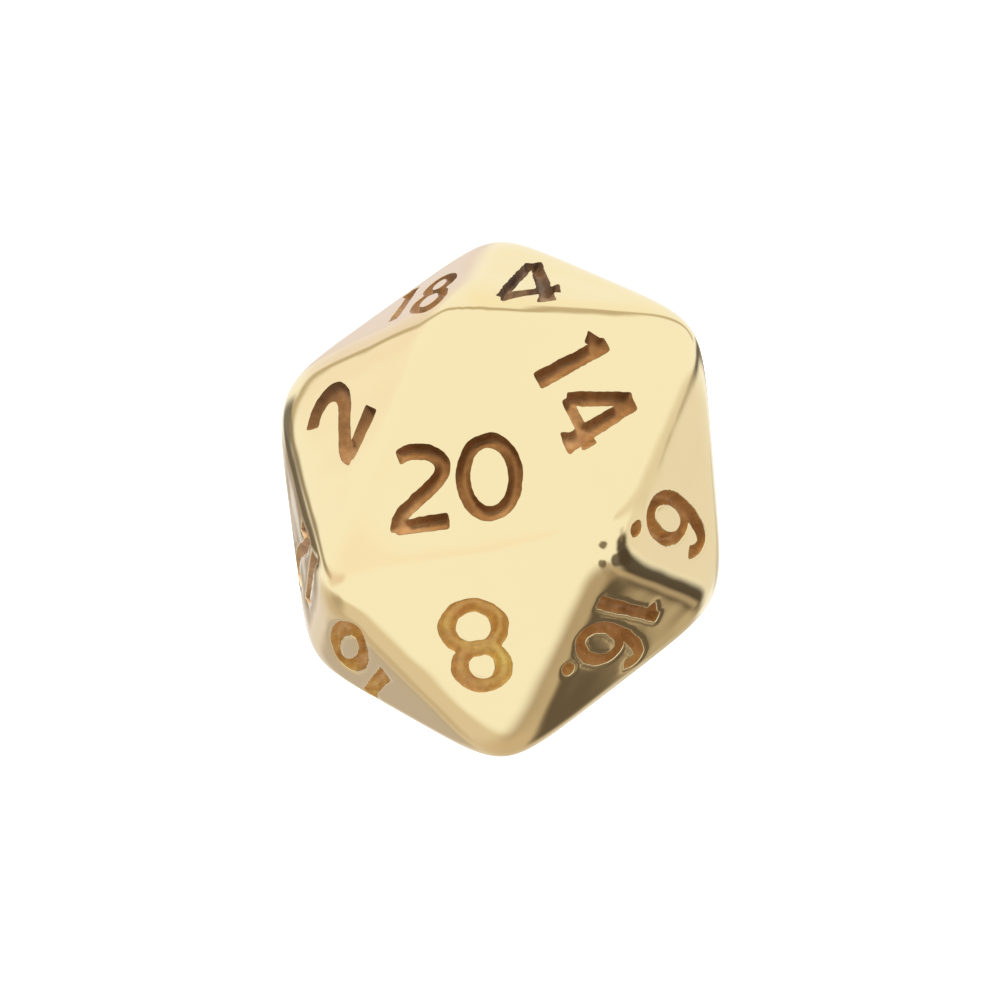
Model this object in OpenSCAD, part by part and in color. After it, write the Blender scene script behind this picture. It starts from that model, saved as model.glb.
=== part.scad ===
// Twenty-sided polyhedral die: one cast metal body with softly rounded edges
// and a sunk numeral on every face, each numeral lined with a brown fill.
// Units are millimetres. The die rests on its "1" face, the "20" is on top,
// X runs along its narrow width and Y along its long width.

/* [Die body] */
// Distance between the opposite faces 1 and 20, the nominal size of the die
face_gap = 20; // [10:0.5:22]
// Narrow width (X) as a share of a regular icosahedron's
narrow_ratio = 0.936; // [0.92:0.002:1]
// Long width (Y) as a share of a regular icosahedron's
long_ratio = 1.068; // [1:0.002:1.08]
// Turn of the top face about the vertical axis, degrees
top_face_turn = -68; // [-75:1:-55]
// Radius of the rounding on edges and corners of a 20 mm die
edge_rounding = 3.1; // [1.5:0.1:3.6]
// Flat strips that make up the rounding of one edge
rounding_steps = 4; // [2:1:5]

/* [Numerals] */
// Depth of the numeral recesses of a 20 mm die
numeral_depth = 0.7; // [0.4:0.05:0.9]
// Width of the numeral strokes of a 20 mm die
stroke_width = 0.7; // [0.5:0.02:0.8]
// Height of every numeral as a share of its designed height
numeral_scale = 1; // [0.85:0.01:1.02]
// Diameter of the dot that marks 6, 9, 16 and 19, of a 20 mm die
dot_diameter = 0.85; // [0.6:0.05:1]
// Steps between two guide points of a curved stroke
curve_steps = 3; // [2:1:4]

/* [Fill] */
// Thickness of the brown fill on the recess floor of a 20 mm die
fill_thickness = 0.3; // [0.15:0.05:0.35]
// Play between the fill and the recess wall of a 20 mm die
fill_play = 0.03; // [0.02:0.01:0.06]

/* [Hidden] */
// Every length is designed for a 20 mm die and follows the die's size.
unit = face_gap / 20;
inradius = face_gap / 2;
rounding = edge_rounding * unit;
depth = numeral_depth * unit;
fill_height = fill_thickness * unit;
fill_gap = fill_play * unit;
overshoot = 1 * unit;
dot_radius = dot_diameter / 2;
// Notches narrower than twice this are closed where strokes meet.
notch = 0.04;
body_colour = [0.93, 0.83, 0.55];
fill_colour = [0.42, 0.26, 0.13];

// An icosahedron with a face on top has its corners on four level rings of
// three; these are their radii and heights for an inradius of one.
cap_radius = 3 - sqrt(5);
belt_radius = sqrt(5) - 1;
belt_height = sqrt(5) - 2;

// Corner numbers: 0-2 round the 20 face, 3-5 upper belt, 6-8 lower belt and
// 9-11 round the 1 face.
function ring(radius, level, turn) =
    [for (k = [0:2]) [radius * cos(turn + 120 * k), radius * sin(turn + 120 * k), level]];

regular_corners = concat(
    ring(cap_radius, 1, top_face_turn),
    ring(belt_radius, belt_height, top_face_turn + 60),
    ring(belt_radius, -belt_height, top_face_turn),
    ring(cap_radius, -1, top_face_turn + 60)
);

function stretched(p) = [p[0] * narrow_ratio, p[1] * long_ratio, p[2]] * inradius;
function unit_vector(v) = v / norm(v);

// One row for each face: numeral, its digits, corner at the top of the
// numeral, the two corners below it, height and width of a digit, tilt of the
// writing line, lean of the uprights, shift across and up the face, gap
// between two digits, and how heavy the stroke is. Lengths are in mm on a
// 20 mm die, angles in degrees.
FACES = [
    [1, [1], 10, 11, 9, 4.8, 3.0, 0, 0, 0, 0.3, 0, 1],
    [2, [2], 3, 0, 1, 4.75, 3.25, 0, 2, 0.05, 0.85, 0, 1.2],
    [3, [3], 4, 10, 8, 4.8, 3.0, 0, 0, 0, 0.5, 0, 1],
    [4, [4], 6, 0, 5, 6.2, 4.9, 24, 22, -1.6, -0.75, 0, 1.2],
    [5, [5], 3, 9, 6, 4.8, 3.0, 0, 0, 0, 0.5, 0, 1],
    [6, [6], 8, 2, 5, 5.9, 2.8, 0, -24, 1.5, 0.5, 0, 0.94],
    [7, [7], 7, 10, 9, 4.8, 3.0, 0, 0, 0, 0.5, 0, 1],
    [8, [8], 4, 1, 2, 5.35, 3.1, 0, 3, 0.15, 0, 0, 1],
    [9, [9], 5, 11, 8, 4.8, 3.0, 0, 0, 0, 0.4, 0, 1],
    [10, [1, 0], 7, 1, 4, 5.8, 3.6, -22, -28, 1.27, 0.1, 0.8, 1.35],
    [11, [1, 1], 5, 11, 6, 4.4, 2.8, 0, 0, 0, 0, 0.6, 1],
    [12, [1, 2], 7, 1, 3, 6.4, 2.5, 20, 22, -1.1, -0.15, 0.6, 1.15],
    [13, [1, 3], 6, 11, 9, 4.4, 2.8, 0, 0, 0, 0, 0.6, 1],
    [14, [1, 4], 5, 0, 2, 5.0, 2.95, -7, -2, 0, -0.4, 0.6, 1],
    [15, [1, 5], 3, 9, 7, 4.4, 2.8, 0, 0, 0, 0, 0.6, 1],
    [16, [1, 6], 8, 2, 4, 5.7, 2.6, 0, 27, -1.1, -0.45, 0.6, 0.88],
    [17, [1, 7], 4, 10, 7, 4.4, 2.8, 0, 0, 0, 0, 0.5, 1],
    [18, [1, 8], 6, 0, 3, 5.2, 2.9, -12, -25, 1.4, -0.45, 0.8, 1],
    [19, [1, 9], 8, 10, 11, 4.4, 2.8, 0, 0, -0.2, 0, 0.6, 1],
    [20, [2, 0], 0, 1, 2, 3.8, 2.95, 0, 3, -0.37, 0.1, 0.15, 1]
];

function outward(n, c) = n * c < 0 ? -n : n;
function corner(i) = stretched(regular_corners[i]);

// Centre, right, up and outward directions of a face, as matrix columns.
function face_frame(f) =
    let (a = corner(f[2]), b = corner(f[3]), c = corner(f[4]))
    let (mid = (a + b + c) / 3)
    let (out = outward(unit_vector(cross(b - a, c - a)), mid))
    let (up = unit_vector(outward(cross(out, c - b), a - mid)))
    let (right = cross(up, out))
    [
        [right[0], up[0], out[0], mid[0]],
        [right[1], up[1], out[1], mid[1]],
        [right[2], up[2], out[2], mid[2]],
        [0, 0, 0, 1]
    ];

// ---- rounded body -------------------------------------------------------

function regular_normal(f) =
    unit_vector(regular_corners[f[2]] + regular_corners[f[3]] + regular_corners[f[4]]);
function has_corner(f, i) = f[2] == i || f[3] == i || f[4] == i;
function faces_at(i) = [for (f = FACES) if (has_corner(f, i)) regular_normal(f)];
// Faces of one corner share an edge when their normals are 41.8 degrees apart.
adjacent_cosine = 0.7;

function patch(i, p, q) =
    let (ball = regular_corners[i] * (1 - rounding / inradius))
    let (top = unit_vector(regular_corners[i]))
    [
        for (t = [0:rounding_steps], s = [0:max(t, 1)])
            let (w = t / rounding_steps)
            let (side = t == 0 ? top : p + (q - p) * s / t)
            stretched(ball + unit_vector(top * (1 - w) + unit_vector(side) * w)
                * rounding / inradius)
    ];

rounded_points = [
    for (i = [0:11])
        let (normals = faces_at(i))
        for (j = [0:4], k = [0:4])
            if (j < k && normals[j] * normals[k] > adjacent_cosine)
                each patch(i, normals[j], normals[k])
];

module rounded_body() {
    hull()
        polyhedron(
            points = rounded_points,
            faces = [for (i = [0:len(rounded_points) - 3]) [i, i + 1, i + 2]]
        );
}

// ---- digits -------------------------------------------------------------
// A digit is drawn as centre lines in a box from (0, 0) to (1, 1) that is
// then given its height, width and stroke.

function spline(a, b, c, d, t) =
    0.5 * (2 * b + (c - a) * t + (2 * a - 5 * b + 4 * c - d) * t * t
        + (3 * b - a - 3 * c + d) * t * t * t);

function smooth(path) =
    let (last = len(path) - 1)
    [
        for (i = [0:last - 1], s = [0:curve_steps - 1])
            spline(path[max(i - 1, 0)], path[i], path[i + 1], path[min(i + 2, last)],
                s / curve_steps),
        path[last]
    ];

function side_of(a, b) = let (d = unit_vector(b - a)) [-d[1], d[0]];
function joint(path, i) =
    i == 0 ? side_of(path[0], path[1])
    : i == len(path) - 1 ? side_of(path[i - 1], path[i])
    : let (m = unit_vector(side_of(path[i - 1], path[i]) + side_of(path[i], path[i + 1])))
        m / (m * side_of(path[i], path[i + 1]));

// Outline of a stroke whose width changes evenly from its start to its end.
function ribbon(path, start, end) =
    let (last = len(path) - 1)
    concat(
        [for (i = [0:last]) path[i] + joint(path, i) * (start + (end - start) * i / last) / 2],
        [for (i = [last:-1:0]) path[i] - joint(path, i) * (start + (end - start) * i / last) / 2]
    );

// $weight is the stroke width of the numeral that is being drawn.
function placed(path, size) =
    [
        for (p = path)
            [
                $weight / 2 + p[0] * (size[0] - $weight),
                $weight / 2 + p[1] * (size[1] - $weight)
            ]
    ];

module stroke(path, size, start = 1, end = 1) {
    polygon(ribbon(placed(path, size), $weight * start, $weight * end));
}

module loop(centre, radii, size) {
    mid = placed([centre], size)[0];
    rx = radii[0] * (size[0] - $weight);
    ry = radii[1] * (size[1] - $weight);
    translate(mid)
        difference() {
            polygon([for (a = [0:12:348])
                [(rx + $weight / 2) * cos(a), (ry + $weight / 2) * sin(a)]]);
            polygon([for (a = [0:15:345])
                [(rx - $weight / 2) * cos(a), (ry - $weight / 2) * sin(a)]]);
        }
}

// The hook of the 6; the 9 is the same digit turned half a turn.
SIX_HOOK = [[0.95, 0.86], [0.78, 0.97], [0.52, 1], [0.27, 0.88], [0.09, 0.66], [0, 0.34]];
BASE_LINE = [[0, 0], [1, 0]];
ONE_STEM = [[0.93, 1.02], [1, 0]];
ONE_FLAG = [[0.9, 0.96], [0, 0.82]];
TWO_CURVE = [
    [0.13, 0.95], [0.37, 1], [0.63, 0.98], [0.86, 0.9], [0.97, 0.77],
    [0.93, 0.63], [0.74, 0.49], [0.42, 0.33], [0.14, 0.17], [0.04, 0.04], [0.03, -0.05]
];
THREE_TOP = [[0.05, 0.93], [0.32, 1], [0.65, 0.98], [0.88, 0.86], [0.86, 0.68], [0.66, 0.57], [0.35, 0.55]];
THREE_LOW = [
    [0.35, 0.55], [0.7, 0.53], [0.94, 0.42], [1, 0.25], [0.88, 0.08], [0.6, 0],
    [0.28, 0], [0, 0.07]
];
FOUR_SLOPE = [[0.62, 1], [0, 0.25]];
FOUR_STEM = [[0.7, 1], [0.79, 0]];
FOUR_BAR = [[0, 0.24], [1, 0.24]];
FOUR_BAR_END = [[0.88, 0.24], [1.04, 0.24]];
FOUR_FOOT = [[0.78, 0.12], [0.76, -0.03]];
FIVE_BAR = [[0.15, 1], [0.92, 1]];
FIVE_STEM = [[0.16, 1], [0.12, 0.58]];
FIVE_BOWL = [
    [0.12, 0.6], [0.4, 0.63], [0.72, 0.58], [0.97, 0.42], [0.97, 0.2], [0.75, 0.04],
    [0.4, 0], [0, 0.06]
];
SEVEN_BAR = [[0, 1], [1, 1]];
SEVEN_SLOPE = [[1, 1], [0.3, 0]];

function turned(path) = [for (p = path) [1 - p[0], 1 - p[1]]];

module digit_outline(d, size) {
    if (d == 0) {
        loop([0.5, 0.5], [0.5, 0.5], size);
    }
    if (d == 1) {
        stroke(ONE_STEM, size, 0.9, 1.1);
        stroke(ONE_FLAG, size, 0.6, 0.9);
    }
    if (d == 2) {
        stroke(smooth(TWO_CURVE), size, 1.1, 1);
        stroke(BASE_LINE, size, 0.9, 1.15);
    }
    if (d == 3) {
        stroke(smooth(THREE_TOP), size, 1.1, 0.9);
        stroke(smooth(THREE_LOW), size, 0.9, 1.1);
    }
    if (d == 4) {
        stroke(FOUR_SLOPE, size, 0.9, 0.9);
        stroke(FOUR_STEM, size, 0.9, 1.1);
        stroke(FOUR_BAR, size, 0.8, 0.8);
        stroke(FOUR_BAR_END, size, 0.8, 1.3);
        stroke(FOUR_FOOT, size, 1, 1.5);
    }
    if (d == 5) {
        stroke(FIVE_BAR, size, 0.9, 1);
        stroke(FIVE_STEM, size, 0.9, 0.9);
        stroke(smooth(FIVE_BOWL), size, 0.9, 1.1);
    }
    if (d == 6) {
        stroke(smooth(SIX_HOOK), size, 1, 1);
        loop([0.5, 0.31], [0.5, 0.31], size);
    }
    if (d == 7) {
        stroke(SEVEN_BAR, size, 1.1, 1);
        stroke(SEVEN_SLOPE, size, 1, 1.1);
    }
    if (d == 8) {
        loop([0.5, 0.76], [0.42, 0.24], size);
        loop([0.5, 0.27], [0.5, 0.27], size);
    }
    if (d == 9) {
        stroke(smooth(turned(SIX_HOOK)), size, 1, 1);
        loop([0.5, 0.69], [0.5, 0.31], size);
    }
}

// The 1 takes half the width of the other digits.
function digit_width(d, width) = d == 1 ? width * 0.5 : width;
// Centre of the dot from the lower right corner of the last digit. Only the
// dot of the 6 sits below its digit.
function dot_place(n) = n == 6 ? [0, -0.2] : [0.55, 0.42];

module numeral_outline(f) {
    digits = f[1];
    high = f[5] * numeral_scale;
    wide = f[6] * numeral_scale;
    first = digit_width(digits[0], wide);
    second = len(digits) == 2 ? digit_width(digits[1], wide) + f[11] : 0;
    lean = tan(f[8]);
    // A tall numeral has a slightly heavier stroke.
    $weight = stroke_width * sqrt(high / 4.8) * f[12];
    scale([unit, unit])
        multmatrix([
            [cos(f[7]), lean, 0, f[9]],
            [sin(f[7]), 1, 0, f[10]],
            [0, 0, 1, 0],
            [0, 0, 0, 1]
        ])
            translate([-(first + second) / 2, -high / 2]) {
                digit_outline(digits[0], [first, high]);
                if (len(digits) == 2)
                    translate([first + f[11], 0])
                        digit_outline(digits[1], [digit_width(digits[1], wide), high]);
                if (f[0] % 10 == 6 || f[0] % 10 == 9)
                    translate([first + second, 0] + dot_place(f[0]))
                        circle(r = dot_radius, $fn = 16);
            }
}

// ---- numeral recess and fill --------------------------------------------

module numeral_recess(f) {
    multmatrix(face_frame(f))
        translate([0, 0, -depth])
            linear_extrude(height = depth + overshoot)
                offset(delta = fill_gap - notch)
                    offset(delta = notch)
                        numeral_outline(f);
}

module numeral_fill(n) {
    f = FACES[n - 1];
    color(fill_colour)
        translate([0, 0, inradius])
            multmatrix(face_frame(f))
                translate([0, 0, -depth])
                    linear_extrude(height = fill_height)
                        offset(delta = -notch)
                            offset(delta = notch)
                                numeral_outline(f);
}

// ---- nodes --------------------------------------------------------------

// Cast body with its twenty numeral recesses.
module die_body() {
    color(body_colour)
        translate([0, 0, inradius])
            difference() {
                rounded_body();
                for (f = FACES)
                    numeral_recess(f);
            }
}

// Brown fill of each numeral.
module numeral_01() { numeral_fill(1); }
module numeral_02() { numeral_fill(2); }
module numeral_03() { numeral_fill(3); }
module numeral_04() { numeral_fill(4); }
module numeral_05() { numeral_fill(5); }
module numeral_06() { numeral_fill(6); }
module numeral_07() { numeral_fill(7); }
module numeral_08() { numeral_fill(8); }
module numeral_09() { numeral_fill(9); }
module numeral_10() { numeral_fill(10); }
module numeral_11() { numeral_fill(11); }
module numeral_12() { numeral_fill(12); }
module numeral_13() { numeral_fill(13); }
module numeral_14() { numeral_fill(14); }
module numeral_15() { numeral_fill(15); }
module numeral_16() { numeral_fill(16); }
module numeral_17() { numeral_fill(17); }
module numeral_18() { numeral_fill(18); }
module numeral_19() { numeral_fill(19); }
module numeral_20() { numeral_fill(20); }

die_body();
numeral_01();
numeral_02();
numeral_03();
numeral_04();
numeral_05();
numeral_06();
numeral_07();
numeral_08();
numeral_09();
numeral_10();
numeral_11();
numeral_12();
numeral_13();
numeral_14();
numeral_15();
numeral_16();
numeral_17();
numeral_18();
numeral_19();
numeral_20();
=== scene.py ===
import math

import bmesh
import bpy
import numpy as np
from mathutils import Matrix, Vector, noise
from mathutils.geometry import delaunay_2d_cdt


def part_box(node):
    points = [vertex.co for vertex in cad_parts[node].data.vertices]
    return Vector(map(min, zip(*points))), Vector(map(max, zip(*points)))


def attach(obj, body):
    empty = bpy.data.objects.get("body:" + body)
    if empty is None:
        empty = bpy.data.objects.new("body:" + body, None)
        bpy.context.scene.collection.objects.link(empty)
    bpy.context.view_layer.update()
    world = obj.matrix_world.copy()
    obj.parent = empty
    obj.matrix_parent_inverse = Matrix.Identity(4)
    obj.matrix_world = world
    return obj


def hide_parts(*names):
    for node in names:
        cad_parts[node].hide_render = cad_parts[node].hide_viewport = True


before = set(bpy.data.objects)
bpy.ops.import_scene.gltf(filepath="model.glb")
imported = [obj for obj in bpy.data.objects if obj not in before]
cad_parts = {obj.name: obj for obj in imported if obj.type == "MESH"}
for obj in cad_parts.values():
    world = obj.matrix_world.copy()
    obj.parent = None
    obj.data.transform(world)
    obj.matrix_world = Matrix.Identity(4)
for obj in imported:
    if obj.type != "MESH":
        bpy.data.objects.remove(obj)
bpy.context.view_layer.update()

# A polished twenty-sided die: one casting with rounded edges and sunk numerals,
# and one brown fill in each numeral. Lengths are in millimetres from the die's
# centre until a mesh is made, and half the die's height is its inradius.
MM = 0.001
die_low, die_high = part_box("die_body")
INRADIUS = (die_high.z - die_low.z) / 2 / MM
# Shares of a regular icosahedron's width, length and height, as in the CAD.
STRETCH = np.array([0.936, 1.068, 1.0]) * INRADIUS
# Turn of the top face about the vertical axis, degrees.
TOP_TURN = -68.0
# Keeps divisions away from zero.
TINY = 1e-12

# ---------------------------------------------------------------- polyhedron


def ring(radius, height, turn):
    """Three corners on a level ring, inradius one."""
    angles = np.radians(turn + 120 * np.arange(3))
    return np.c_[radius * np.cos(angles), radius * np.sin(angles), [height] * 3]


ROOT5 = math.sqrt(5)
CORNERS = np.vstack(
    [
        ring(3 - ROOT5, 1, TOP_TURN),
        ring(ROOT5 - 1, ROOT5 - 2, TOP_TURN + 60),
        ring(ROOT5 - 1, 2 - ROOT5, TOP_TURN),
        ring(3 - ROOT5, -1, TOP_TURN + 60),
    ]
)
# Numeral on a face: corner above the numeral and the two corners below it.
FACES = {
    1: (10, 11, 9),
    2: (3, 0, 1),
    3: (4, 10, 8),
    4: (6, 0, 5),
    5: (3, 9, 6),
    6: (8, 2, 5),
    7: (7, 10, 9),
    8: (4, 1, 2),
    9: (5, 11, 8),
    10: (7, 1, 4),
    11: (5, 11, 6),
    12: (7, 1, 3),
    13: (6, 11, 9),
    14: (5, 0, 2),
    15: (3, 9, 7),
    16: (8, 2, 4),
    17: (4, 10, 7),
    18: (6, 0, 3),
    19: (8, 10, 11),
    20: (0, 1, 2),
}
NORMALS = np.array([CORNERS[list(f)].mean(0) for f in FACES.values()])
NORMALS /= np.linalg.norm(NORMALS, axis=1)[:, None]

# Rounding of the body: how far out the softening starts, how fast it turns,
# and the radius of the ball that takes the corners off.
SOFT_START = 0.87
SOFT_POWER = 4.1
BALL = 1.172
# The search for the surface along a ray starts from these shares of the flat
# face's distance and is halved this many times.
SEARCH = (0.5, 1.2)
HALVINGS = 40


def level(q):
    """Level-set value of the rounded body and its gradient, inradius one."""
    along = np.maximum(q @ NORMALS.T - SOFT_START, 0)
    size = np.linalg.norm(q, axis=1)
    ball = np.maximum(size / BALL - SOFT_START, 0)
    total = (along**SOFT_POWER).sum(1) + ball**SOFT_POWER
    total = np.maximum(total, 1e-30)
    value = SOFT_START + total ** (1 / SOFT_POWER)
    outer = total ** (1 / SOFT_POWER - 1)
    grad = (along ** (SOFT_POWER - 1)) @ NORMALS
    grad += (ball ** (SOFT_POWER - 1) / BALL / size)[:, None] * q
    return value, grad * outer[:, None]


def on_surface(p):
    """Points moved along their rays from the centre to the rounded surface, with normals."""
    q = p / STRETCH
    low, high = (np.full(len(q), share) for share in SEARCH)
    for _ in range(HALVINGS):
        mid = (low + high) / 2
        outside = level(q * mid[:, None])[0] > 1
        high = np.where(outside, mid, high)
        low = np.where(outside, low, mid)
    t = ((low + high) / 2)[:, None]
    normal = level(q * t)[1] / STRETCH
    return p * t, normal / np.linalg.norm(normal, axis=1)[:, None]


class Face:
    """A flat face of the stretched icosahedron, with its own 2D frame."""

    def __init__(self, numeral):
        self.numeral = numeral
        a, b, c = (CORNERS[i] * STRETCH for i in FACES[numeral])
        self.mid = (a + b + c) / 3
        out = np.cross(b - a, c - a)
        out /= np.linalg.norm(out)
        self.out = out if out @ self.mid > 0 else -out
        up = np.cross(self.out, c - b)
        up = up if up @ (a - self.mid) > 0 else -up
        self.up = up / np.linalg.norm(up)
        self.right = np.cross(self.up, self.out)
        self.corners = self.flat(np.array([a, b, c]))

    def flat(self, p):
        """Points in space to the face's 2D frame."""
        return np.c_[(p - self.mid) @ self.right, (p - self.mid) @ self.up]

    def solid(self, uv):
        """Points of the face's 2D frame to space."""
        return self.mid + uv[:, :1] * self.right + uv[:, 1:2] * self.up


# ------------------------------------------------------------------ outlines

# Outlines of the recesses: spacing of their points, how far they stand outside
# the CAD fill, and their raggedness as (size, waves per mm).
LOOP_STEP = 0.09
FILL_PLAY = 0.005
RAGGED = [(0.05, 1.5), (0.03, 4.5)]
FEWEST_POINTS = 12

# Rings round an outline: the cosine within which another stroke lies ahead,
# the share of the way to it and of a tight corner that a ring may take, the
# least turn that counts as tight, how fast the room may change along the
# outline, and the room where nothing is near.
AHEAD = 0.35
SHARED_ROOM = 0.38
CORNER_ROOM = 0.34
TIGHT_TURN = 0.02
ROOM_SLOPE = 0.6
OPEN_ROOM = 9.0


def cad_loops(face):
    """Outlines of the top of this face's CAD fill in its 2D frame, recess on the left."""
    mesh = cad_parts[f"numeral_{face.numeral:02d}"].data
    co = np.array([v.co for v in mesh.vertices]) / MM - [0, 0, INRADIUS]
    height = (co - face.mid) @ face.out
    top = height > height.max() - 0.01
    flat = face.flat(co)
    key = [tuple(np.round(p, 3)) for p in flat]
    mesh.calc_loop_triangles()
    used = set()
    for t in mesh.loop_triangles:
        if all(top[j] for j in t.vertices):
            a, b, c = (key[j] for j in t.vertices)
            if (b[0] - a[0]) * (c[1] - a[1]) <= (b[1] - a[1]) * (c[0] - a[0]):
                b, c = c, b
            used.update(((a, b), (b, c), (c, a)))
    # An edge used one way only is on the boundary.
    after = {a: b for a, b in used if (b, a) not in used}
    loops = []
    while after:
        start, here = min(after.items())
        loop = [start]
        del after[start]
        while here != start:
            loop.append(here)
            here = after.pop(here)
        loops.append(np.array(loop))
    return loops


def resample(loop, step):
    """A closed loop with evenly spaced points."""
    closed = np.vstack([loop, loop[:1]])
    run = np.r_[0, np.cumsum(np.linalg.norm(np.diff(closed, axis=0), axis=1))]
    count = max(FEWEST_POINTS, int(round(run[-1] / step)))
    at = np.arange(count) * run[-1] / count
    return np.c_[np.interp(at, run, closed[:, 0]), np.interp(at, run, closed[:, 1])]


def soften(loop):
    """A loop with each point drawn halfway to its neighbours' middle."""
    return loop / 2 + (np.roll(loop, 1, 0) + np.roll(loop, -1, 0)) / 4


def away(loop):
    """Unit 2D normals that point out of the recess."""
    t = np.roll(loop, -1, 0) - np.roll(loop, 1, 0)
    t /= np.linalg.norm(t, axis=1)[:, None]
    return np.c_[t[:, 1], -t[:, 0]]


def untangled(loop):
    """Cuts off the small knots of a closed loop that crosses itself."""
    while True:
        n = len(loop)
        p, r = loop, np.roll(loop, -1, 0) - loop
        gap = p[None] - p[:, None]
        cross = r[:, None, 0] * r[None, :, 1] - r[:, None, 1] * r[None, :, 0]
        cross = np.where(np.abs(cross) < TINY, TINY, cross)
        t = (gap[..., 0] * r[None, :, 1] - gap[..., 1] * r[None, :, 0]) / cross
        u = (gap[..., 0] * r[:, None, 1] - gap[..., 1] * r[:, None, 0]) / cross
        i, j = np.indices((n, n))
        apart = (np.abs(i - j) > 1) & (np.abs(i - j) < n - 1)
        hits = np.argwhere((t >= 0) & (t <= 1) & (u >= 0) & (u <= 1) & apart & (i < j))
        if len(hits) == 0:
            return loop
        i, j = min(hits.tolist(), key=lambda h: min(h[1] - h[0], n - h[1] + h[0]))
        meet = p[i] + t[i, j] * r[i]
        if j - i < n - j + i:
            loop = np.vstack([loop[: i + 1], meet, loop[j + 1 :]])
        else:
            loop = np.vstack([loop[i + 1 : j + 1], meet])


def clearance(loop, loops):
    """Half the free width outside each point of a loop, to any other part of the outline."""
    others = np.vstack(loops)
    room = np.full(len(loop), OPEN_ROOM)
    out = away(loop)
    for i, p in enumerate(loop):
        gap = others - p
        size = np.linalg.norm(gap, axis=1)
        ahead = gap @ out[i] > AHEAD * size
        near = size[ahead & (size > 1e-6)]
        if len(near):
            room[i] = SHARED_ROOM * near.min()
    return room


def offset(loop, outs, loops=()):
    """Rings at distances outside a closed loop, drawn in where the corners are tight."""
    before = loop - np.roll(loop, 1, 0)
    after = np.roll(loop, -1, 0) - loop
    bend = before[:, 0] * after[:, 1] - before[:, 1] * after[:, 0]
    turn = np.arctan2(bend, (before * after).sum(1))
    step = np.minimum(np.linalg.norm(before, axis=1), np.linalg.norm(after, axis=1))
    tight = -turn if max(outs) > 0 else turn
    corner = CORNER_ROOM * step / np.tan(np.clip(tight, TIGHT_TURN, 3) / 2)
    room = np.where(tight > TIGHT_TURN, corner, OPEN_ROOM)
    if len(loops):
        room = np.minimum(room, clearance(loop, loops))
    for _ in range(4):
        beside = np.minimum(np.roll(room, 1), np.roll(room, -1))
        room = np.minimum(room, beside + step * ROOM_SLOPE)
    share = np.minimum(1, room / max(abs(out) for out in outs))[:, None]
    return [loop + away(loop) * out * share for out in outs]


def wobble(points, scale, seed):
    """Smooth noise over 2D points; the seed picks the slice it is read from."""
    return np.array([noise.noise(Vector((x * scale, y * scale, seed * 7.3))) for x, y in points])


def inside(points, loops):
    """Even-odd test of 2D points against closed loops."""
    hit = np.zeros(len(points), bool)
    for loop in loops:
        a, b = loop, np.roll(loop, -1, 0)
        for p, q in zip(a, b, strict=True):
            crosses = (p[1] > points[:, 1]) != (q[1] > points[:, 1])
            if not crosses.any():
                continue
            x = p[0] + (points[:, 1] - p[1]) * (q[0] - p[0]) / (q[1] - p[1] + TINY)
            hit ^= crosses & (points[:, 0] < x)
    return hit


def nearest(points, loops):
    """Distance of 2D points from the nearest loop, and the direction away from it."""
    best = np.full(len(points), 1e9)
    where = np.zeros_like(points)
    for loop in loops:
        a, b = loop, np.roll(loop, -1, 0)
        for i in range(0, len(points), 512):
            p = points[i : i + 512, None, :]
            ab = (b - a)[None]
            t = ((p - a[None]) * ab).sum(2) / np.maximum((ab**2).sum(2), TINY)
            near = a[None] + np.clip(t, 0, 1)[..., None] * ab
            gap = np.linalg.norm(p - near, axis=2)
            k = gap.argmin(1)
            row = np.arange(len(k))
            closer = np.nonzero(gap[row, k] < best[i : i + 512])[0]
            best[i + closer] = gap[row, k][closer]
            where[i + closer] = near[row, k][closer]
    apart = points - where
    return best, apart / np.maximum(np.linalg.norm(apart, axis=1), 1e-9)[:, None]


def distance(points, loops):
    """Distance of 2D points from the nearest loop."""
    return nearest(points, loops)[0]


def hex_grid(low, high, step):
    """Evenly spaced 2D points in staggered rows between two corners."""
    rows = []
    y, odd = low[1], 0
    while y < high[1]:
        x = np.arange(low[0] + odd * step / 2, high[0], step)
        rows.append(np.c_[x, np.full(len(x), y)])
        y += step * math.sqrt(3) / 2
        odd = 1 - odd
    return np.vstack(rows)


def triangulate(loops, extra, keep):
    """Triangles over loops and extra points, in the order the points are given."""
    points = np.vstack([*loops, extra])
    edges = []
    base = 0
    for loop in loops:
        n = len(loop)
        edges += [(base + i, base + (i + 1) % n) for i in range(n)]
        base += n
    verts, _, faces, origin, _, _ = delaunay_2d_cdt(
        [Vector(p) for p in points], edges, [], 0, 1e-7, True
    )
    back = {i: o[0] for i, o in enumerate(origin) if o}
    tris = np.array([[back[i] for i in f] for f in faces if all(i in back for i in f)], int)
    a, b, c = (points[tris[:, k]] for k in range(3))
    ab, ac = b - a, c - a
    area = ab[:, 0] * ac[:, 1] - ab[:, 1] * ac[:, 0]
    tris[area < 0] = tris[area < 0][:, ::-1]
    ok = (np.abs(area) > 1e-9) & keep((a + b + c) / 3)
    return tris[ok]


# ------------------------------------------------------------------- meshing


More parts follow.
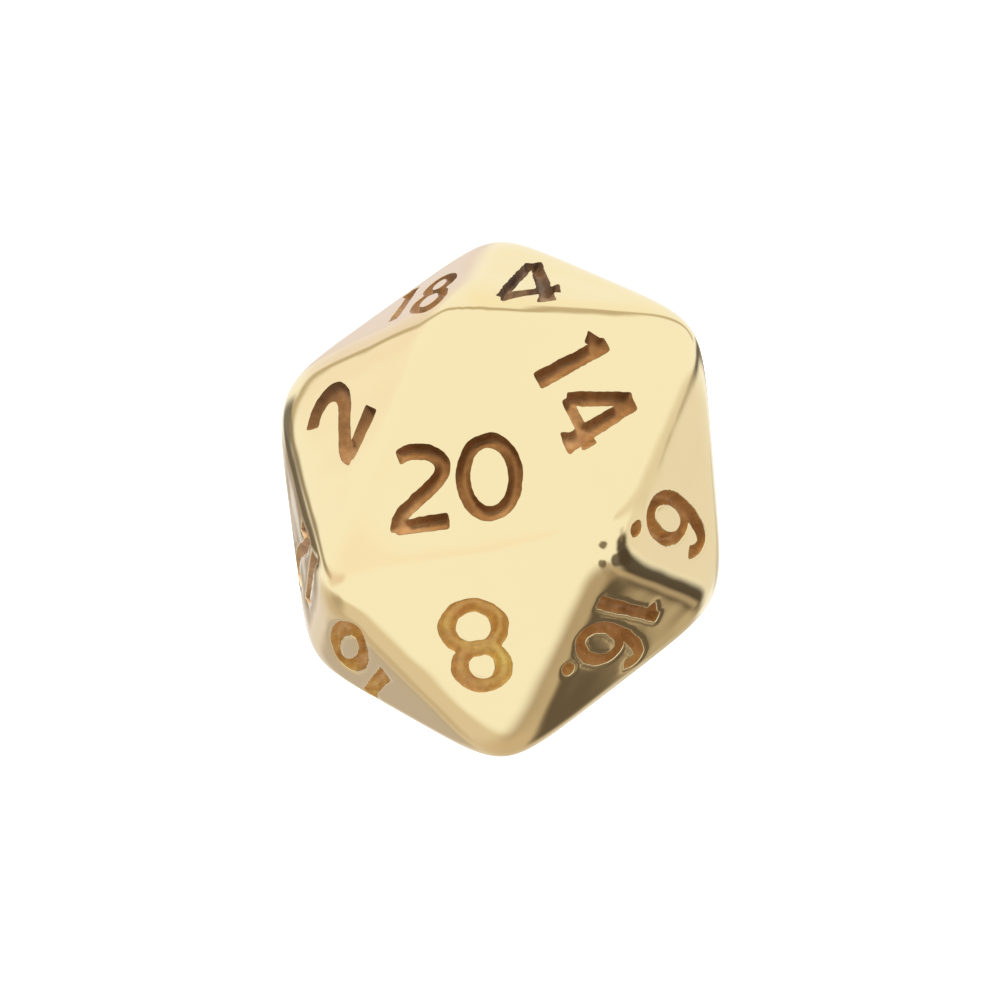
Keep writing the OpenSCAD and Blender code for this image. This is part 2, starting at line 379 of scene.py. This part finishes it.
class Builder:
    """Gathers points, normals and triangles, and makes one mesh of them."""

    def __init__(self):
        self.points, self.normals, self.tris = [], [], []
        self.count = 0

    def add(self, points, normals=None):
        """Adds points, with normals where they are known, and gives the first one's number."""
        first = self.count
        self.points.append(points)
        blank = np.zeros_like(points)
        self.normals.append(blank if normals is None else normals)
        self.count += len(points)
        return first

    def skin(self, first, second, n):
        """Joins two rings of n points that run round a recess.

        The skin faces out of the recess when the first ring is the upper one,
        as on a fill, and into it when the first is the lower one, as on a wall.
        """
        i = np.arange(n)
        j = (i + 1) % n
        self.tris.append(np.c_[first + i, second + j, first + j])
        self.tris.append(np.c_[first + i, second + i, second + j])

    def mesh(self, name):
        """The finished piece: equal points merged, pinholes closed, normals set."""
        points = np.vstack(self.points)
        normals = np.vstack(self.normals)
        tris = np.vstack(self.tris)
        _, first, merged = np.unique(
            np.round(points, 4), axis=0, return_index=True, return_inverse=True
        )
        merged = merged.ravel()
        points, normals, tris = points[first], normals[first], merged[tris]
        tris = tris[(tris != np.roll(tris, 1, 1)).all(1)]
        a, b, c = (points[tris[:, k]] for k in range(3))
        flat = np.cross(b - a, c - a)
        own = np.zeros_like(points)
        for k in range(3):
            np.add.at(own, tris[:, k], flat)
        own /= np.maximum(np.linalg.norm(own, axis=1), TINY)[:, None]
        given = np.linalg.norm(normals, axis=1) > 0.5
        own[given] = normals[given]
        data = bpy.data.meshes.new(name)
        data.from_pydata(((points + [0, 0, INRADIUS]) * MM).tolist(), [], tris.tolist())
        # Close any pinhole left where an outline comes to a sharp point.
        work = bmesh.new()
        work.from_mesh(data)
        open_edges = [edge for edge in work.edges if len(edge.link_faces) == 1]
        if open_edges:
            made = bmesh.ops.holes_fill(work, edges=open_edges, sides=8)["faces"]
            bmesh.ops.triangulate(work, faces=made)
            bmesh.ops.recalc_face_normals(work, faces=work.faces[:])
            work.to_mesh(data)
        work.free()
        data.polygons.foreach_set("use_smooth", [True] * len(data.polygons))
        data.normals_split_custom_set_from_vertices(own.tolist())
        data.update()
        piece = bpy.data.objects.new(name, data)
        bpy.context.scene.collection.objects.link(piece)
        return piece


def thinned(points, step):
    """Drops points that lie closer together than about one step."""
    cell = np.round(points / step).astype(int)
    _, first = np.unique(cell, axis=0, return_index=True)
    return points[np.sort(first)]


# Faces: spacing of the grid, steps along an edge, and how far grid points stay
# from an edge (share of the grid) and from the outermost ring of a recess.
GRID = 0.26
EDGE_STEPS = 52
EDGE_CLEAR = 0.4
LIP_CLEAR = 0.3
# Bands of extra points round a recess: their distances outside it, the least
# distance between two points, and how far they stay from edges and the ring.
BANDS = (0.15, 0.23, 0.33)
BAND_STEP = 0.06
BAND_LIP_CLEAR = 0.055

# Depth of the recesses, and how much narrower their floor is on each side.
DEPTH = 0.7
TAPER = 0.01
# Rings round a recess: distance outside its outline, and depth below the face
# or, where negative, height above it as a share of the raised rim.
RAISED_LIP = [(0.085, 0.0), (0.055, -0.8), (0.025, -0.5), (0.003, 0.014), (0.0, 0.07)]
PLAIN_LIP = [(0.03, 0.0), (0.013, 0.004), (0.003, 0.014), (0.0, 0.07)]
# How far the rim of a recess is raised, and how far the face rolls over
# toward it, where either is more than a trace.
RAISED = {6: 0.01, 8: 0.006, 10: 0.012, 12: 0.01, 16: 0.013}
ROLLED = {6: 0.014, 8: 0.012, 10: 0.035, 12: 0.02, 16: 0.03}
ROLL_TRACE = 0.002
ROLL_WIDTH = 0.17

# Fills: how far inside the outline their rim and foot are, the height of the
# foot above the recess floor, the depth of the rim, and the grid of the top.
RIM_INSET = 0.002
FOOT_INSET = 0.018
FOOT_RISE = 0.04
RIM_DEPTH = 0.014
FILL_GRID = 0.09
FILL_CLEAR = 0.045
# The top sags into a U: its usual sag and how much that drifts, the distance
# from the rim over which it falls, how steeply, and a fine unevenness.
SAG, SAG_DRIFT, SAG_WAVES = 0.38, 0.12, 0.9
SAG_REACH, SAG_POWER = 0.31, 1.9
GRAIN, GRAIN_WAVES = 0.008, 4.0
# Keep the noise of the sag and the grain apart from that of the outlines.
SAG_SEED, GRAIN_SEED = 57, 83


def rolled(face, flat, loops):
    """Rounded surface over 2D points, sunk a little toward the recess, with normals."""
    surface, normal = on_surface(face.solid(flat))
    gap, apart = nearest(flat, loops)
    sink = ROLLED.get(face.numeral, ROLL_TRACE) * np.exp(-((gap / ROLL_WIDTH) ** 2))
    slope = (sink * 2 * gap / ROLL_WIDTH**2)[:, None]
    tilt = apart[:, :1] * face.right + apart[:, 1:] * face.up
    normal = normal - slope * tilt
    normal /= np.linalg.norm(normal, axis=1)[:, None]
    return surface - face.out * sink[:, None], normal


def sunk(face, flat, depth):
    """Rounded surface over 2D points, moved straight down into the face."""
    return on_surface(face.solid(flat))[0] - face.out * depth


def filled(loops):
    """Triangles over the inside of closed loops, with no points between them."""
    return triangulate(loops, np.zeros((0, 2)), lambda c: inside(c, loops))


def outlines(face):
    """Outlines of the face's recesses: the CAD fill's, a little larger and ragged."""
    loops = []
    for raw in cad_loops(face):
        loop = soften(resample(raw, LOOP_STEP))
        rough = sum(size * wobble(loop, waves, face.numeral) for size, waves in RAGGED)
        loop = untangled(loop + away(loop) * (FILL_PLAY + rough)[:, None])
        loops.append(untangled(resample(loop, LOOP_STEP)))
    return loops


def face_border(face):
    """Points along the three edges; the two faces of an edge get the same ones."""
    w = (np.arange(EDGE_STEPS) / EDGE_STEPS)[:, None]
    ends = zip(face.corners, np.roll(face.corners, -1, 0), strict=True)
    return np.vstack([a * (1 - w) + b * w for a, b in ends])


def face_grid(face, border, loops, outer):
    """Points on the face: an even grid, and finer bands round the recesses."""
    grid = hex_grid(face.corners.min(0), face.corners.max(0), GRID)
    grid = grid[inside(grid, [border])]
    grid = grid[distance(grid, [border]) > GRID * EDGE_CLEAR]
    grid = grid[~inside(grid, outer)]
    grid = grid[distance(grid, outer) > LIP_CLEAR]
    bands = np.vstack([loop + away(loop) * out for loop in loops for out in BANDS])
    bands = bands[inside(bands, [border]) & ~inside(bands, outer)]
    bands = bands[distance(bands, [border]) > BAND_STEP]
    bands = bands[distance(bands, outer) > BAND_LIP_CLEAR]
    return np.vstack([grid, thinned(bands, BAND_STEP)])


def add_face(body, face, loops):
    """Adds one face with the lips, walls and floors of its recesses."""
    lip = RAISED_LIP if face.numeral in RAISED else PLAIN_LIP
    by_loop = [offset(loop, [out for out, _ in lip], loops) for loop in loops]
    rings = [[rings_of[i] for rings_of in by_loop] for i in range(len(lip))]
    outer = rings[0]
    border = face_border(face)
    grid = face_grid(face, border, loops, outer)
    tris = triangulate([border, *outer], grid, lambda c: ~inside(c, outer))
    flat = np.vstack([border, *outer, grid])
    surface, normal = rolled(face, flat, loops)
    edge = slice(len(border))
    surface[edge], normal[edge] = on_surface(face.solid(border))
    first = body.add(surface, normal)
    body.tris.append(first + tris)
    feet = [offset(loop, [-TAPER])[0] for loop in loops]
    start = first + len(border)
    for k, foot in enumerate(feet):
        previous = start
        start += len(foot)
        for (_, sink), ring_loops in zip(lip[1:], rings[1:], strict=True):
            if sink < 0:
                sink *= RAISED[face.numeral]
            here = body.add(rolled(face, ring_loops[k], loops)[0] - face.out * sink)
            body.skin(here, previous, len(foot))
            previous = here
        body.skin(body.add(sunk(face, foot, DEPTH)), previous, len(foot))
    first = body.add(sunk(face, np.vstack(feet), DEPTH))
    body.tris.append(first + filled(feet))


def make_fill(face, loops):
    """The fill of one numeral: a sagging top, sides close to the wall, a flat foot."""
    fill = Builder()
    rim, foot = zip(*(offset(loop, [-RIM_INSET, -FOOT_INSET]) for loop in loops), strict=True)
    grid = hex_grid(np.vstack(rim).min(0), np.vstack(rim).max(0), FILL_GRID)
    grid = grid[inside(grid, rim)]
    grid = grid[distance(grid, rim) > FILL_CLEAR]
    tris = triangulate(rim, grid, lambda c: inside(c, rim))
    flat = np.vstack([*rim, grid])
    gap = distance(flat, rim)
    gap[: sum(len(loop) for loop in rim)] = 0
    reach = np.clip(gap / SAG_REACH, 0, 1)
    deepest = SAG + SAG_DRIFT * wobble(flat, SAG_WAVES, face.numeral + SAG_SEED)
    sag = deepest * (1 - (1 - reach) ** SAG_POWER)
    grain = GRAIN * wobble(flat, GRAIN_WAVES, face.numeral + GRAIN_SEED) * reach
    depth = RIM_DEPTH + sag + grain
    top = rolled(face, flat, loops)[0] - face.out * depth[:, None]
    turned = np.zeros_like(top)
    a, b, c = (top[tris[:, k]] for k in range(3))
    for k in range(3):
        np.add.at(turned, tris[:, k], np.cross(b - a, c - a))
    turned /= np.linalg.norm(turned, axis=1)[:, None]
    start = fill.add(top, turned)
    fill.tris.append(start + tris)
    for loop in foot:
        here = fill.add(sunk(face, loop, DEPTH - FOOT_RISE))
        fill.skin(start, here, len(loop))
        start += len(loop)
    first = fill.add(sunk(face, np.vstack(foot), DEPTH - FOOT_RISE))
    fill.tris.append(first + filled(foot)[:, ::-1])
    return fill.mesh(f"inlay_{face.numeral:02d}")


faces = [Face(numeral) for numeral in FACES]
recesses = [outlines(face) for face in faces]
body = Builder()
for face, loops in zip(faces, recesses, strict=True):
    add_face(body, face, loops)
gold_body = body.mesh("gold_body")
inlays = {
    face.numeral: make_fill(face, loops) for face, loops in zip(faces, recesses, strict=True)
}

# ----------------------------------------------------------------- materials


# Sockets of a colour Mix node, which share their names with hidden ones.
MIX_FACTOR, MIX_FIRST, MIX_SECOND, MIX_RESULT = 0, 6, 7, 2


def add(tree, kind, **values):
    """A node with its settings and its inputs' values."""
    node = tree.nodes.new(kind)
    for key, value in values.items():
        if hasattr(node, key):
            setattr(node, key, value)
        else:
            node.inputs[key.replace("_", " ")].default_value = value
    return node


def new_material(name):
    """A node material, its shader and a texture coordinate node."""
    material = bpy.data.materials.new(name)
    material.use_nodes = True
    tree = material.node_tree
    return material, tree, tree.nodes["Principled BSDF"], add(tree, "ShaderNodeTexCoord")


def clouds(tree, where, **values):
    """Noise fixed to the object, in waves per metre."""
    node = add(tree, "ShaderNodeTexNoise", **values)
    tree.links.new(where.outputs["Object"], node.inputs["Vector"])
    return node.outputs["Fac"]


def spread(tree, value, to, start=(0.0, 1.0)):
    """Maps one range of a value to another."""
    node = add(tree, "ShaderNodeMapRange")
    node.inputs["From Min"].default_value, node.inputs["From Max"].default_value = start
    node.inputs["To Min"].default_value, node.inputs["To Max"].default_value = to
    tree.links.new(value, node.inputs["Value"])
    return node.outputs["Result"]


def relief(tree, shader, height, strength, distance_m):
    """Bumps on the surface."""
    bump = add(tree, "ShaderNodeBump", Strength=strength, Distance=distance_m)
    tree.links.new(height, bump.inputs["Height"])
    tree.links.new(bump.outputs["Normal"], shader.inputs["Normal"])


def gold():
    """Polished plating: a faint drift of colour, light smears and slow waves."""
    material, tree, shader, where = new_material("polished_gold")
    shader.inputs["Metallic"].default_value = 1.0
    tint = add(tree, "ShaderNodeMix", data_type="RGBA")
    tint.inputs[MIX_FIRST].default_value = (0.945, 0.815, 0.485, 1)
    tint.inputs[MIX_SECOND].default_value = (0.925, 0.78, 0.45, 1)
    tree.links.new(clouds(tree, where, Scale=90.0, Detail=3.0), tint.inputs[MIX_FACTOR])
    tree.links.new(tint.outputs[MIX_RESULT], shader.inputs["Base Color"])
    smear = clouds(tree, where, Scale=260.0, Detail=4.0)
    rough = spread(tree, smear, (0.05, 0.11), (0.35, 0.7))
    tree.links.new(rough, shader.inputs["Roughness"])
    relief(tree, shader, clouds(tree, where, Scale=250.0, Detail=1.0), 1.0, 0.00009)
    return material


def enamel(name, deep, dark, light, metal, rough, flip=False):
    """Brown colour lying in a recess: slow drifts of tone, painted shade that darkens it toward -y,
    the top of the camera's view, and lightens it toward +y (the other way round when flipped), and a
    fine, uneven grain.
    """
    material, tree, shader, where = new_material(f"{name}_enamel")
    shader.inputs["Metallic"].default_value = metal
    shader.inputs["Specular IOR Level"].default_value = 0.2
    drift = clouds(tree, where, Scale=520.0, Detail=3.0)
    # Painted shade: half of the tone is a slope along y, darker toward the top of the camera's view
    # and lighter toward its bottom; flip turns it round.
    axes = add(tree, "ShaderNodeSeparateXYZ")
    tree.links.new(where.outputs["Generated"], axes.inputs[0])
    painted_shade_fall = spread(tree, axes.outputs["Y"], (0.66, 0.34) if flip else (0.34, 0.66))
    blend = add(tree, "ShaderNodeMix")
    blend.inputs["Factor"].default_value = 0.5
    tree.links.new(drift, blend.inputs["A"])
    tree.links.new(painted_shade_fall, blend.inputs["B"])
    ramp = add(tree, "ShaderNodeValToRGB")
    first, last = ramp.color_ramp.elements
    first.position, first.color = 0.36, (*deep, 1)
    last.position, last.color = 0.64, (*light, 1)
    ramp.color_ramp.elements.new(0.5).color = (*dark, 1)
    tree.links.new(blend.outputs["Result"], ramp.inputs["Fac"])
    speck = clouds(tree, where, Scale=3500.0, Detail=4.0, Roughness=0.65)
    tone = add(tree, "ShaderNodeVectorMath", operation="SCALE")
    tree.links.new(ramp.outputs["Color"], tone.inputs[0])
    tree.links.new(spread(tree, speck, (0.82, 1.15), (0.3, 0.7)), tone.inputs["Scale"])
    tree.links.new(tone.outputs[0], shader.inputs["Base Color"])
    tree.links.new(spread(tree, speck, (rough - 0.08, rough + 0.12)), shader.inputs["Roughness"])
    relief(tree, shader, speck, 0.25, 0.00002)
    return material


gold_body.data.materials.append(gold())
# Deep, middle and light tone, how metallic and how rough; the browns differ
# from numeral to numeral. The near-black brown on 4 and the darker brown on 18
# are painted shade, darker copies of the brown where the groove lies in shadow;
# the darker one is also used on 2. The light tone of the 10's fill is a painted
# highlight.
brown = enamel("brown", (0.15, 0.066, 0.02), (0.24, 0.112, 0.036), (0.38, 0.21, 0.085), 0.3, 0.42)
# A darker copy of the brown: painted shade on 18, and a darker tone on 2.
umber_and_shade = enamel("umber_and_shade", (0.11, 0.05, 0.017), (0.18, 0.085, 0.03), (0.29, 0.155, 0.06), 0.3, 0.42)
rust = enamel("rust", (0.26, 0.11, 0.024), (0.38, 0.17, 0.04), (0.5, 0.26, 0.07), 0.3, 0.42)
tan = enamel("tan", (0.28, 0.15, 0.06), (0.42, 0.25, 0.12), (0.62, 0.44, 0.27), 0.15, 0.5)
# Orange fill whose light tone is a painted highlight, standing in for golden glints in the 10.
amber_and_glint = enamel("amber_and_glint", (0.38, 0.17, 0.03), (0.52, 0.26, 0.05), (0.68, 0.44, 0.13), 0.45, 0.35)
honey = enamel("honey", (0.64, 0.33, 0.12), (0.72, 0.44, 0.13), (0.86, 0.66, 0.19), 0.4, 0.35, True)
# Near black at its deep end: painted shade for the numeral 4.
painted_shade_brown = enamel("painted_shade_brown", (0.02, 0.01, 0.005), (0.1, 0.05, 0.02), (0.4, 0.25, 0.12), 0.3, 0.42)
tones = {2: umber_and_shade, 4: painted_shade_brown, 6: rust, 8: honey, 10: amber_and_glint, 12: tan, 16: rust, 18: umber_and_shade}
for numeral, piece in inlays.items():
    piece.data.materials.append(tones.get(numeral, brown))

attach(gold_body, "root")
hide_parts("die_body")
for numeral, piece in inlays.items():
    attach(piece, "root")
    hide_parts(f"numeral_{numeral:02d}")

# --------------------------------------------------------------------- stage

FLOOR_HALF = 0.6  # metres
floor_corners = [(x * FLOOR_HALF, y * FLOOR_HALF, 0) for x, y in ((-1, -1), (1, -1), (1, 1), (-1, 1))]
floor_mesh = bpy.data.meshes.new("floor")
floor_mesh.from_pydata(floor_corners, [], [(0, 1, 2, 3)])
floor = bpy.data.objects.new("floor", floor_mesh)
bpy.context.scene.collection.objects.link(floor)
floor_material = bpy.data.materials.new("pale_floor")
floor_material.use_nodes = True
floor_shader = floor_material.node_tree.nodes["Principled BSDF"]
floor_shader.inputs["Base Color"].default_value = (0.9, 0.9, 0.9, 1)
floor_shader.inputs["Roughness"].default_value = 0.9
floor_shader.inputs["Specular IOR Level"].default_value = 0.0
floor_shader.inputs["Emission Color"].default_value = (1, 1, 1, 1)
floor_shader.inputs["Emission Strength"].default_value = 0.85
floor_mesh.materials.append(floor_material)
floor.visible_glossy = False

# -------------------------------------------------------------------- camera

# Fixed axes of the view from above the die, which place the camera and the
# surroundings: to its right, upward, and back toward the viewer.
BACK = Vector((-0.171, -0.001, 0.985)).normalized()
UP = BACK.cross(Vector((-0.945, -0.283, -0.164)).normalized()).normalized()
RIGHT = UP.cross(BACK)
DISTANCE = 13.09  # in inradii
LENS = 101.2  # mm
LOWERED, MOVED_LEFT = 0.00024, 0.00004  # metres
camera = bpy.data.objects.new("camera", bpy.data.cameras.new("camera"))
bpy.context.scene.collection.objects.link(camera)
camera.data.lens = LENS
camera.data.sensor_width = 36.0
camera.data.clip_start = 0.005
camera.data.clip_end = 5.0
centre = Vector((0, 0, INRADIUS * MM))
place = centre + BACK * (DISTANCE * INRADIUS * MM) - UP * LOWERED - RIGHT * MOVED_LEFT
turn = Matrix((RIGHT, UP, BACK)).transposed().to_4x4()
camera.matrix_world = Matrix.Translation(place) @ turn
bpy.context.scene.camera = camera

# --------------------------------------------------------------------- light

world = bpy.data.worlds.new("studio")
bpy.context.scene.world = world
world.use_nodes = True
wt = world.node_tree
background = wt.nodes["Background"]


def calc(operation, *inputs, vector=False):
    """A math node's result, from numbers, vectors or other results."""
    node = add(wt, "ShaderNodeVectorMath" if vector else "ShaderNodeMath", operation=operation)
    for socket, value in zip(node.inputs, inputs, strict=False):
        if isinstance(value, bpy.types.NodeSocket):
            wt.links.new(value, socket)
        else:
            socket.default_value = value
    return node.outputs["Value" if operation in ("DOT_PRODUCT", "DISTANCE") or not vector else 0]


def chart():
    """Direction as degrees right and up, measured from straight away beyond the die."""
    ray = add(wt, "ShaderNodeTexCoord").outputs["Generated"]
    x = calc("DOT_PRODUCT", ray, RIGHT, vector=True)
    y = calc("DOT_PRODUCT", ray, UP, vector=True)
    z = calc("DOT_PRODUCT", ray, -BACK, vector=True)
    side = calc("SQRT", calc("ADD", calc("MULTIPLY", x, x), calc("MULTIPLY", y, y)))
    angle = calc("MULTIPLY", calc("ARCTAN2", side, z), 180 / math.pi)
    gain = calc("DIVIDE", angle, calc("MAXIMUM", side, 1e-5))
    point = add(wt, "ShaderNodeCombineXYZ")
    wt.links.new(calc("MULTIPLY", x, gain), point.inputs[0])
    wt.links.new(calc("MULTIPLY", y, gain), point.inputs[1])
    return point.outputs[0]


def brush(under, point, track, inner, outer, tint, strength):
    """Lays a soft-edged stroke of colour along a track on the chart."""
    near = None
    for (ax, ay), (bx, by) in zip(track, track[1:], strict=False):
        span = Vector((bx - ax, by - ay, 0))
        start = calc("SUBTRACT", point, Vector((ax, ay, 0)), vector=True)
        run = calc("DOT_PRODUCT", start, span / span.length_squared, vector=True)
        along = add(wt, "ShaderNodeVectorMath", operation="SCALE")
        along.inputs[0].default_value = span
        wt.links.new(calc("MINIMUM", calc("MAXIMUM", run, 0.0), 1.0), along.inputs["Scale"])
        gap = calc("DISTANCE", start, along.outputs[0], vector=True)
        near = gap if near is None else calc("MINIMUM", near, gap)
    fade = add(wt, "ShaderNodeMapRange", interpolation_type="SMOOTHSTEP")
    fade.inputs["From Min"].default_value = outer
    fade.inputs["From Max"].default_value = inner
    fade.inputs["To Max"].default_value = strength
    wt.links.new(near, fade.inputs["Value"])
    mix = add(wt, "ShaderNodeMix", data_type="RGBA")
    wt.links.new(fade.outputs["Result"], mix.inputs[MIX_FACTOR])
    if isinstance(under, tuple):
        mix.inputs[MIX_FIRST].default_value = (*under, 1)
    else:
        wt.links.new(under, mix.inputs[MIX_FIRST])
    mix.inputs[MIX_SECOND].default_value = (*tint, 1)
    return mix.outputs[MIX_RESULT]


# The painted reflections that the polished faces mirror, a chart of colours by
# direction: a white tent, a tan table low in the view, thin seams, two small dark
# things and dark strokes, of which those low on the right are painted shadow, the
# die's own shadow on the floor. They are placed by direction. Each stroke is a
# track in degrees, its solid and faded half widths, a colour and a strength.
TENT = (1.0, 1.0, 1.0)
WARM = (0.56, 0.45, 0.34)
SAND = (0.72, 0.63, 0.53)
UMBER = (0.33, 0.26, 0.19)
BLACKEST_REFLECTION = (0.08, 0.062, 0.048)
LINE = (0.55, 0.46, 0.34)
DARK = (0.12, 0.08, 0.04)
STROKES = [
    ([(-24, -48), (-14, -50)], 38, 47, SAND, 0.9),
    ([(26, -60), (42, -64)], 16, 44, (0.42, 0.33, 0.24), 0.9),
    ([(6, -56), (12, -54)], 14, 34, (0.66, 0.54, 0.42), 0.8),
    ([(-58, -42), (-50, -34)], 2, 18, UMBER, 0.6),
    ([(-38, -26), (-30, -48)], 3, 16, WARM, 0.7),
    # Low on the right, painted shadow: the die's own shadow on the floor.
    ([(34, -34), (50, -44)], 6, 20, UMBER, 0.9),
    ([(29, -38), (44, -45)], 2, 13, BLACKEST_REFLECTION, 0.8),
    ([(33, -28), (38, -33)], 2.5, 7, UMBER, 0.85),
    ([(-118, 5), (-150, -14)], 8, 45, (1.0, 0.93, 0.88), 0.8),
    ([(-60, 30), (-50, 38)], 1, 9, (0.97, 0.88, 0.86), 0.8),
    ([(6, 44), (14, 66)], 6, 26, (0.99, 0.96, 0.86), 0.9),
    ([(-18, -22), (-19, -32)], 3, 10, (0.5, 0.43, 0.37), 0.85),
    ([(-15, -2), (-20, -12)], 2, 8, (0.82, 0.74, 0.7), 0.6),
    ([(-13, 17), (-8, 20)], 2, 9, (0.8, 0.7, 0.72), 0.8),
    ([(26, -6), (36, -2)], 1, 6, (0.5, 0.45, 0.42), 0.7),
    ([(62, -50), (72, -66)], 3, 12, UMBER, 0.55),
    ([(44, -8), (72, -6)], 6, 16, SAND, 0.5),
    # Low on the right, painted shadow: the die's own shadow on the floor.
    ([(46, -28), (66, -29), (79, -23), (84, -15)], 4.6, 12, BLACKEST_REFLECTION, 0.97),
    ([(68, -30), (73, -40)], 6.5, 12, BLACKEST_REFLECTION, 0.9),
    ([(85, -14), (90, -2)], 0.5, 5, UMBER, 0.45),
    ([(41, -29), (48, -34), (73, -55)], 0.3, 4, WARM, 0.75),
    ([(12, 5), (28, 9)], 1, 5, UMBER, 0.8),
    ([(28, 10), (42, 11), (50, 8), (57, 4)], 0.8, 5, BLACKEST_REFLECTION, 0.9),
    ([(57, 4), (75, 8), (100, 22)], 0.5, 8, SAND, 0.6),
    ([(4, -6), (36, -33)], 0.5, 5, LINE, 0.9),
    ([(-48, 13), (-34, 4)], 3, 10, BLACKEST_REFLECTION, 0.85),
    ([(-46, 0), (-18, -3)], 0.5, 5, UMBER, 0.9),
    ([(-43, 1), (-30, 0)], 1.5, 5, BLACKEST_REFLECTION, 0.6),
    ([(-50, 10), (-58, 0), (-72, -9)], 1, 6, UMBER, 0.9),
    ([(-72, -12), (-100, -20)], 2, 16, (0.8, 0.64, 0.55), 0.7),
    ([(-36, 36), (-12, 26)], 2, 14, (0.86, 0.76, 0.78), 0.8),
    ([(-52, 18), (-54, 24), (-43, 31), (-46, 39), (-34, 56), (-27, 70), (-14, 82), (5, 87), (24, 83),
      (38, 73), (29, 62), (35, 48), (38, 34), (42, 22)], 1, 5, LINE, 0.95),
    ([(118, -34), (116, -46)], 5, 13, DARK, 0.85),
    ([(76, -66), (77, -74)], 4, 9, DARK, 0.8),
]

place_on_chart = chart()
colour = TENT
for stroke in STROKES:
    colour = brush(colour, place_on_chart, *stroke)
wt.links.new(colour, background.inputs["Color"])
# Matt surfaces take an even light from the tent, so only mirror rays see the chart, which is painted
# reflection with painted shadow in it.
even = add(wt, "ShaderNodeBackground")
even.inputs["Color"].default_value = (1.0, 0.97, 0.93, 1)
even.inputs["Strength"].default_value = 0.6
kind = add(wt, "ShaderNodeLightPath")
split = add(wt, "ShaderNodeMixShader")
wt.links.new(kind.outputs["Is Glossy Ray"], split.inputs[0])
wt.links.new(even.outputs[0], split.inputs[1])
wt.links.new(background.outputs[0], split.inputs[2])
wt.links.new(split.outputs[0], wt.nodes["World Output"].inputs["Surface"])
world.cycles.sampling_method = "NONE"

# One soft lamp, above and a little to the left of the view, in metres and watts.
key = bpy.data.objects.new("key", bpy.data.lights.new("key", "AREA"))
bpy.context.scene.collection.objects.link(key)
key.data.size = 0.1
key.data.energy = 1.9
key_place = centre + (UP * 0.85 - RIGHT * 0.25 + BACK * 0.6).normalized() * 0.3
key.location = key_place
key.rotation_mode = "QUATERNION"
key.rotation_quaternion = (centre - key_place).to_track_quat("-Z", "Y")
key.visible_glossy = False

bpy.context.scene.view_settings.view_transform = "Standard"
